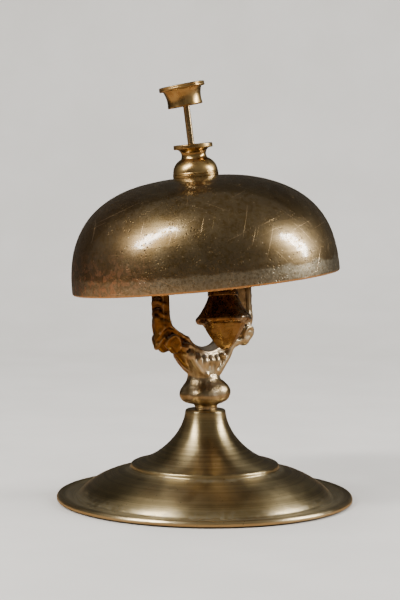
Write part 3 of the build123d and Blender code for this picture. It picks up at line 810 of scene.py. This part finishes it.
def carve_arm(field, side):
    """Ribbed arm with a smooth raised edge at each side and a solid pad at its top."""
    def strip(u, v, h):
        along_u = np.abs(side * u - (ARM_U - 0.5)) - ARM_T / 2
        along_v = np.abs(v) - (ARM_HALF_W - 0.5)
        outer = np.maximum(along_u, along_v)
        return np.maximum(outer, np.maximum(ARM_LOW - h, h - ARM_TOP)) - 0.45

    def pad(u, v, h):
        gap = np.maximum(np.abs(u - side * ARM_U) - PAD_HALF_U, np.abs(v) - PAD_HALF_V)
        return np.maximum(gap, PAD_LOW - h) - 0.5

    field.apply(strip, (side * ARM_U - 5, -6, 32), (side * ARM_U + 5, 6, 92), 0.6)
    for edge in (-1, 1):
        Corner(field, side, edge).rope([(ARM_U - 0.7, 3.75, 90), (ARM_U - 0.7, 3.75, 60),
                                        (ARM_U - 0.8, 3.8, 44), (ARM_U - 1.4, 3.9, 38.6)],
                                       1.05, 1.15, 0.5)
    across = np.linspace(-ARM_HALF_W + 0.9, ARM_HALF_W - 0.9, 7)
    for index in range(RIB_COUNT):
        crest = RIB_FIRST + RIB_PITCH * index - RIB_ARCH * across ** 2
        rib = [(side * (ARM_U + 0.25), v, h) for v, h in zip(across, crest)]
        groove = [(side * (ARM_U + 1.8), v, h + 2.4) for v, h in zip(across, crest)]
        field.stroke(rib, [1.3, 1.6, 1.8, 1.85, 1.8, 1.6, 1.3], 0.5)
        field.stroke(groove, [0.5, 0.9, 1.1, 1.15, 1.1, 0.9, 0.5], 0.4, cut=True)
    field.apply(pad, (side * ARM_U - 4, -5, 83), (side * ARM_U + 4, 5, 96), 0.6)


def carve_tip(field, side):
    """Outer skin of the arm, narrowing to a blunt point that stands off the calyx."""
    Corner(field, side, 1).rope([(23.4, 0, 41), (23.7, 0, 36.5), (24.7, 0, 32.0), (25.9, 0, 28.9)],
                                2.9, 1.15, 0.7, middle=2.2)
    for face in (-1, 1):
        Corner(field, side, face).rope([(23.6, 2.6, 40), (24.0, 2.6, 36.0), (24.9, 1.8, 32.0),
                                        (25.8, 0.5, 29.2)], 1.7, 0.9, 0.6)


def carve_shoulder(corner):
    """Ridge that flows from the arm's edge down to a nub at the cradle, and the metal behind it."""
    corner.rope([(22.2, 3.7, 39.5), (21.3, 3.9, 37.4), (18.6, 4.0, 35.0), (15.2, 4.0, 33.1),
                 (12.3, 3.8, 31.8)], 1.35, 0.95, 0.7)
    corner.ball((12.4, 4.0, 31.6), (1.4, 1.2, 1.1))
    for depth in (0.0, 1.9):
        corner.rope([(21.6, depth, 37.4), (18.8, depth, 34.6), (15.4, depth, 32.6),
                     (12.6, depth, 31.2)], 2.0, 1.4, 0.7)


def cut_arch(corner):
    """Deep hollow that arches over the petal, from the tip to the shoulder."""
    corner.rope([(26.2, 1.4, 31.4), (25.6, 3.6, 34.0), (23.2, 5.2, 35.9), (19.8, 5.5, 35.2),
                 (17.0, 5.4, 33.0), (16.0, 5.4, 31.0)], 0.6, 0.6, 0.4, cut=True, middle=1.35)


def carve_petal(corner):
    """Dished petal under the arch and its stem, which runs down the calyx to the waist."""
    corner.rope([(20.6, 3.9, 30.2), on_calyx(48, 26.6, -0.3), on_calyx(46, 23.0, -0.4),
                 on_calyx(44, 19.0, -0.5), on_calyx(40, 16.0, -1.0)], 2.5, 1.5, 0.9)
    corner.ball((21.0, 3.8, 30.9), (3.5, 2.6, 3.1), 0.6)
    corner.ball((19.2, 3.8, 28.4), (2.7, 2.4, 2.6), 0.8)
    rim = [(23.8, 4.6, 30.6), (23.2, 5.4, 32.6), (21.2, 5.9, 33.8), (19.1, 6.0, 32.9),
           (18.0, 5.9, 30.6), (17.2, 5.6, 28.4)]
    corner.rope(rim, 0.5, 0.4, 0.5, middle=0.85)
    corner.ball((20.9, 7.6, 30.2), (2.2, 1.7, 2.3), 0.6, cut=True)
    vein = [on_calyx(40, 27.0, 0.7), on_calyx(43, 23.0, 0.6), on_calyx(50, 18.6, 0.2)]
    corner.rope(vein, 0.3, 0.3, 0.5, middle=0.7)


def carve_scroll(corner):
    """Small curl with a hollow eye between the petal and the leaves."""
    corner.ball((15.2, 5.4, 30.0), (1.9, 1.6, 1.2), cut=True)
    corner.rope([on_calyx(37, 24.6, 0.1), on_calyx(38, 27.2, 0.7), on_calyx(44, 29.0, 1.0),
                 on_calyx(54, 29.0, 1.1), on_calyx(60, 27.4, 0.6)], 0.6, 0.8, 0.5, middle=1.0)
    corner.ball(on_calyx(49, 26.6, 1.2), (1.3, 1.5, 1.1), cut=True)


def carve_leaves(front):
    """Leaves that rise from the waist and curl over below the cradle's smooth band."""
    for u, top, foot, thick in LEAVES:
        front.rope([(foot, 4.6, LEAF_FOOT), ((foot + u) / 2, 4.8, 18.8), (u, 4.8, top - 2.0),
                    (u, 4.4, top)], 1.0, thick, 0.9)
        front.ball((u, 5.0, top - 1.2), (thick + 0.1, 1.5, thick + 0.2), 0.9)
    front.ball((-3.4, 5.4, 15.7), (1.3, 0.9, 0.9))
    front.rope([(3.4, 4.4, 16.4), (6.8, 4.3, 19.8), (10.4, 4.2, 24.4), (13.6, 4.2, 28.6)],
               1.4, 1.3, 0.8)
    front.ball((6.2, 5.3, 22.9), (1.45, 1.35, 1.45), 0.3)


def cut_cradle(field):
    """Round U between the shoulders, with a wide smooth band sloping to each face."""
    def saddle(u, v, h):
        radius = CRADLE_R + 0.5 * np.maximum(np.abs(v) - 0.9, 0)
        return np.hypot(u, h - CRADLE_H) - radius
    field.apply(saddle, (-15, -9, 23), (15, 9, 50), 0.5, cut=True)


def in_yoke(place, *spot):
    """A point of another frame, in the yoke's frame."""
    there = YOKE.inverted() @ place @ Vector([c * MM for c in spot])
    return np.array(there) / MM


def cut_level(field, place, height, way):
    """Takes away what lies above a height in another frame, or below it if way is -1."""
    point = in_yoke(place, 0, 0, height)
    normal = in_yoke(place, 0, 0, height + way) - point

    def beyond(u, v, h):
        return -sum((p - c) * k for p, c, k in zip((u, v, h), point, normal))
    field.apply(beyond, [a[0] for a in field.axes], [a[-1] for a in field.axes], 0.05, cut=True)


def cut_bore(field, place, x, low, high, radius):
    """Straight round hole between two heights in another frame."""
    ends = [in_yoke(place, x, 0, low), in_yoke(place, x, 0, high)]
    field.stroke(ends, [radius, radius], 0.05, cut=True)


def carved_yoke():
    """The whole casting as a field, with the holes that its stud and screws need."""
    field = Field((-U_END, -V_END, LOW_END), (U_END, V_END, HIGH_END), VOXEL)
    carve_calyx(field)
    carve_knop(field)
    for side in (-1, 1):
        carve_arm(field, side)
        carve_tip(field, side)
    corners = [Corner(field, side, face) for side in (-1, 1) for face in (-1, 1)]
    for corner in corners:
        carve_shoulder(corner)
        cut_arch(corner)
    for corner in corners:
        carve_petal(corner)
        carve_scroll(corner)
    for face in (-1, 1):
        carve_leaves(Corner(field, 1, face))
    cut_cradle(field)
    cut_level(field, GEAR, BRIDGE_BOTTOM, 1)
    cut_level(field, UPRIGHT, FOOT_TOP, -1)
    cut_bore(field, UPRIGHT, 0, FOOT_TOP - 4, STUD_BORE_TOP, STUD_BORE_R)
    for side in (-1, 1):
        cut_bore(field, GEAR, side * ARM_U, SCREW_BORE_LOW, BRIDGE_BOTTOM + 4, SCREW_BORE_R)
    return field


def surface_of(field):
    """Quad mesh where the field is zero, one vertex per crossed cell."""
    values, step = field.values, field.step
    solid = values < 0
    shape = np.array(values.shape) - 1
    corners = list(np.ndindex(2, 2, 2))

    def corner(grid, c):
        return grid[c[0]:c[0] + shape[0], c[1]:c[1] + shape[1], c[2]:c[2] + shape[2]]
    count = sum(corner(solid, c).astype(np.int8) for c in corners)
    cells = np.argwhere((count > 0) & (count < 8))
    index = np.full(shape, -1, np.int64)
    index[tuple(cells.T)] = np.arange(len(cells))
    total, hits = np.zeros((len(cells), 3)), np.zeros(len(cells))
    for a in corners:
        for axis in range(3):
            if a[axis]:
                continue
            b = list(a)
            b[axis] = 1
            va = values[tuple((cells + a).T)]
            vb = values[tuple((cells + b).T)]
            crossed = (va < 0) != (vb < 0)
            spot = np.array(a, float)[None] + 0 * total
            spot[:, axis] = np.where(crossed, va / np.where(crossed, va - vb, 1), 0)
            total += spot * crossed[:, None]
            hits += crossed
    vertices = (cells + total / hits[:, None]) * step + np.array([a[0] for a in field.axes])
    faces = []
    for axis in range(3):
        b, c = (axis + 1) % 3, (axis + 2) % 3
        low = [slice(1, -1)] * 3
        high = [slice(1, -1)] * 3
        low[axis], high[axis] = slice(0, -1), slice(1, None)
        at = np.argwhere(solid[tuple(low)] != solid[tuple(high)])
        at[:, b] += 1
        at[:, c] += 1
        offsets = []
        for db, dc in ((-1, -1), (0, -1), (0, 0), (-1, 0)):
            move = np.zeros(3, int)
            move[b], move[c] = db, dc
            offsets.append(index[tuple((at + move).T)])
        quads = np.stack(offsets, 1)
        outwards = solid[tuple(at.T)]
        quads[~outwards] = quads[~outwards][:, ::-1]
        faces.append(quads)
    return vertices, np.vstack(faces)


def vertex_values(mesh, name):
    values = np.zeros(len(mesh.vertices) * 3, np.float32)
    mesh.vertices.foreach_get(name, values)
    return values.reshape(-1, 3)


def yoke_piece(material):
    """The casting as a mesh, softened and then given a lumpy skin except where it is machined."""
    vertices, faces = surface_of(carved_yoke())
    item = add_object("cast_yoke", vertices * MM, faces.tolist(), material)
    smooth = item.modifiers.new("soften", "SMOOTH")
    smooth.factor, smooth.iterations = 0.5, 2
    bpy.context.view_layer.update()
    mesh = bpy.data.meshes.new_from_object(item.evaluated_get(bpy.context.evaluated_depsgraph_get()))
    item.modifiers.clear()
    item.data = mesh
    height = vertices[:, 2]
    as_cast = (height > 1.0) & (height < 86)
    lumps = (0.10 * noise(vertices, 2.6, 21) + 0.05 * noise(vertices, 1.1, 22)) * as_cast
    spots = vertex_values(mesh, "co") + vertex_values(mesh, "normal") * (lumps * MM)[:, None]
    mesh.vertices.foreach_set("co", spots.astype(np.float32).ravel())
    mesh.transform(YOKE)
    mesh.update()
    mesh.shade_smooth()
    return item


# ---- soft and sprung pieces ----
RING_FACES = 240
FELT_RING, FELT_HEIGHTS = (55.4, 62.4), (0.0, 0.6)  # radii, then heights
LEATHER_RING, LEATHER_HEIGHTS = (4.6, 8.6), (42.1, 43.3)
WIRE_R, COIL_R, SPRING_TURNS = 0.25, 1.95, 11
SPRING_LOW, SPRING_HIGH = 1.9, 20.65  # middle of the wire at each end


def ring_piece(name, place, radii, heights, material, seed, wobble):
    """Soft flat ring with rounded edges and an uneven cut edge."""
    (inner, outer), (low, high) = radii, heights
    edge = (high - low) * 0.45
    section = []
    for r, z, start in ((outer - edge, high - edge, 0), (inner + edge, high - edge, 90),
                        (inner + edge, low + edge, 180), (outer - edge, low + edge, 270)):
        for k in range(5):
            t = math.radians(start + 22.5 * k)
            section.append(np.array((r + edge * math.cos(t), z + edge * math.sin(t))))
    section = refined(section, True, 0.9)
    r, a = np.broadcast_arrays(section[:, :1], angles_round(RING_FACES)[None])
    z = np.broadcast_to(section[:, 1:], r.shape)
    spots = round_points(r, a, z)
    r = r + np.sign(r - (inner + outer) / 2) * wobble * (noise(spots, 2.5, seed) - 1)
    z = z + 0.04 * noise(spots, 1.5, seed + 1) * ((z > low + 0.1) & (z < high - 0.1))
    faces = grid_faces(len(section), RING_FACES, True)
    return add_object(name, placed(place, round_points(r, a, z)), faces, material)


def spring_piece(material):
    """Compression spring with closed end turns, round the plunger rod."""
    total = SPRING_TURNS + 2
    steps, around = 36 * total, 12
    t = (total * np.arange(steps + 1) / steps)[:, None]
    closed_turns = 0.5 * np.clip(t, 0, 1) + 0.5 * np.clip(t - total + 1, 0, 1)
    open_turns = np.clip((t - 1) / SPRING_TURNS, 0, 1) * (SPRING_HIGH - SPRING_LOW - 1.0)
    height = SPRING_LOW + closed_turns + open_turns
    b = angles_round(around)[None]
    spots = round_points(COIL_R + WIRE_R * np.cos(b), 2 * math.pi * t, height + WIRE_R * np.sin(b))
    faces = grid_faces(steps + 1, around, False)
    faces += [list(range(around)), [steps * around + k for k in range(around)]]
    return add_object("coil_spring", placed(PLUNGER, spots), faces, material)


# ---- the object ----
STEEL = (0.42, 0.4, 0.37), (0.25, 0.22, 0.18), 0.3, 0.5
PLAIN_BRASS = (0.42, 0.32, 0.16), (0.28, 0.2, 0.09), 0.3, 0.45
ROD_BRASS = (0.42, 0.31, 0.17), (0.3, 0.21, 0.1), 0.18, 0.32
SPRING_STEEL = (0.34, 0.34, 0.35), (0.2, 0.2, 0.2), 0.25, 0.4


def attach(piece, body, node):
    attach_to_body(piece, body)
    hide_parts(node)


def paint(material, *names):
    for name in names:
        NODES[name].data.materials.clear()
        NODES[name].data.materials.append(material)
        NODES[name].data.shade_smooth()


def turned_pieces():
    """The pieces made on a lathe. Sizes: faces round, step along the outline, edge radius."""
    finial_look = turned_material("finial_brass", BELL)
    button_look = turned_material("button_brass", BUTTON)
    pieces = (
        ("domed_bell", "root", "bell", "bell_brass", BELL, bell_material(),
         (360, 1.0, 0.2), bell_shape),
        ("turned_foot", "root", "base_foot", "foot_brass", UPRIGHT, foot_material(),
         (360, 0.9, 0.2), foot_shape),
        ("finial_nut", "root", "finial", "turned_brass", BELL, finial_look,
         (160, 0.3, 0.15), small_shape(31)),
        ("finial_ring", "root", "finial_washer", "turned_brass", BELL, finial_look,
         (160, 0.3, 0.2), small_shape(33)),
        ("finger_button", "plunger", "button", "turned_brass", BUTTON, button_look,
         (160, 0.3, 0.15), small_shape(35)),
        ("acorn_head", "hammer", "hammer_head", "turned_brass", HEAD, head_material(),
         (180, 0.35, 0.2), head_shape))
    for name, body, node, slot, place, material, sizes, shape in pieces:
        attach(spun(name, node, place, material, *sizes, shape), body, node)


def build_object():
    turned_pieces()
    attach(yoke_piece(cast_material()), "root", "yoke")
    felt = ring_piece("felt_pad", UPRIGHT, FELT_RING, FELT_HEIGHTS, felt_material(), 41, 0.05)
    attach(felt, "root", "felt_ring")
    leather = ring_piece("leather_washer", BELL, LEATHER_RING, LEATHER_HEIGHTS,
                         leather_material(), 43, 0.08)
    attach(leather, "root", "seat_washer")
    spring = spring_piece(plain_metal("spring_steel", *SPRING_STEEL))
    attach(spring, "root", "plunger_spring")
    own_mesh(spring)
    paint(plain_metal("rod_brass", *ROD_BRASS), "plunger_rod")
    paint(plain_metal("plain_brass", *PLAIN_BRASS), "bridge", "centre_post", "hammer_hanger",
          "pivot_spacers", "hammer_lever", "plunger_tappet", "spring_collar")
    paint(plain_metal("steel", *STEEL), "yoke_stud", "base_washer", "base_nut", "bridge_screws",
          "post_nut", "pivot_pin", "pivot_clip")


# ---- stage, in metres ----
PALE, PALE_LIGHT = (0.66, 0.65, 0.63), (0.70, 0.69, 0.67)
SEEN_ROOM = (0.5, 0.49, 0.48)
REFLECTED_FLOOR, REFLECTED_ROOM = (0.27, 0.175, 0.095), (0.026, 0.024, 0.021)
REFLECTED_SIDES, REFLECTED_CEILING = (0.11, 0.1, 0.082), (0.21, 0.18, 0.13)
FLOOR_FRONT, FLOOR_BACK, FLOOR_REACH = -1.0, 0.55, 1.6
BACKDROP_RISE, BACKDROP_BEND = 1.5, 0.35
BELL_MIDDLE = Vector((0, 0, 0.11))
CAMERA_SPOT = (-0.00278, -0.7831, 0.1487)
CAMERA_DOWN, CAMERA_ROLL = 4.58, 0.53  # degrees
CAMERA_LENS, SENSOR_WIDTH = 110.4, 36.0  # millimetres


def floor():
    """Pale floor that curves up into a backdrop. Metal sees it as warm wood in a dark room."""
    side = [(FLOOR_FRONT, 0.0), (FLOOR_BACK, 0.0)]
    for k in range(1, 9):
        t = math.radians(90 * k / 8)
        side.append((FLOOR_BACK + BACKDROP_BEND * math.sin(t), BACKDROP_BEND * (1 - math.cos(t))))
    side.append((FLOOR_BACK + BACKDROP_BEND, BACKDROP_RISE))
    vertices = [(x, y, z) for y, z in side for x in (-FLOOR_REACH, FLOOR_REACH)]
    faces = [(2 * i, 2 * i + 1, 2 * i + 3, 2 * i + 2) for i in range(len(side) - 1)]
    n = look("paper")
    here = n.local()
    paper = n.mix(n.spread(n.noise(here, 60.0), 0.0, 1.0), PALE, PALE_LIGHT)
    wood = n.mix(n.ramp(n.split(here)[1], 200, 420), REFLECTED_FLOOR, REFLECTED_ROOM)
    add_object("floor", vertices, faces, n.surface(n.mirrored(paper, wood), 0.0, 0.8))


def towards(azimuth, elevation):
    """Direction from the bell; azimuth 0 is towards the camera and positive to the right."""
    a, e = math.radians(azimuth), math.radians(elevation)
    return Vector((math.sin(a) * math.cos(e), -math.cos(a) * math.cos(e), math.sin(e)))


def softbox(name, start, end, width, distance, power, colour):
    """Long soft light whose two ends lie in the directions start and end from the bell."""
    a, b = towards(*start) * distance, towards(*end) * distance
    back = ((a + b) / 2).normalized()
    along = (b - a).normalized()
    across = back.cross(along).normalized()
    turned = Matrix((along, across, back)).transposed().to_4x4()
    data = bpy.data.lights.new(name, "AREA")
    data.shape = "RECTANGLE"
    data.size, data.size_y = (b - a).length, width
    data.energy, data.color = power, colour
    item = bpy.data.objects.new(name, data)
    item.matrix_world = Matrix.Translation(BELL_MIDDLE + back * distance) @ turned
    bpy.context.scene.collection.objects.link(item)
    return item


def lights():
    softbox("left_box", (-65, 26), (-42, 55), 0.13, 1.0, 9.5, (1.0, 0.96, 0.9))
    softbox("right_box", (76, 33), (97, 12), 0.13, 1.0, 8.0, (1.0, 0.97, 0.93))
    fill = softbox("top_fill", (-30, 80), (150, 80), 0.9, 1.3, 14, (1.0, 0.98, 0.95))
    fill.visible_glossy = False  # it lights the floor without a third highlight on the bell


def room():
    """Even pale surroundings; metal sees a dim room with a lighter ceiling instead."""
    world = bpy.data.worlds.new("studio")
    bpy.context.scene.world = world
    n = Nodes(world)
    upwards = n.split(n.node("TexCoord", {})["Generated"])[2]
    ceiling = n.node("MapRange", {"Value": upwards, "From Min": 0.45, "From Max": 0.95})["Result"]
    reflected = n.mix(ceiling, REFLECTED_SIDES, REFLECTED_CEILING)
    n.put(n.mirrored(SEEN_ROOM, reflected), n.tree.nodes["Background"].inputs["Color"])


def camera():
    data = bpy.data.cameras.new("camera")
    data.sensor_width, data.lens = SENSOR_WIDTH, CAMERA_LENS
    item = bpy.data.objects.new("camera", data)
    item.matrix_world = (Matrix.Translation(CAMERA_SPOT) @ turn("X", 90 - CAMERA_DOWN)
                         @ turn("Z", CAMERA_ROLL))
    bpy.context.scene.collection.objects.link(item)
    bpy.context.scene.camera = item


build_object()
floor()
lights()
room()
camera()
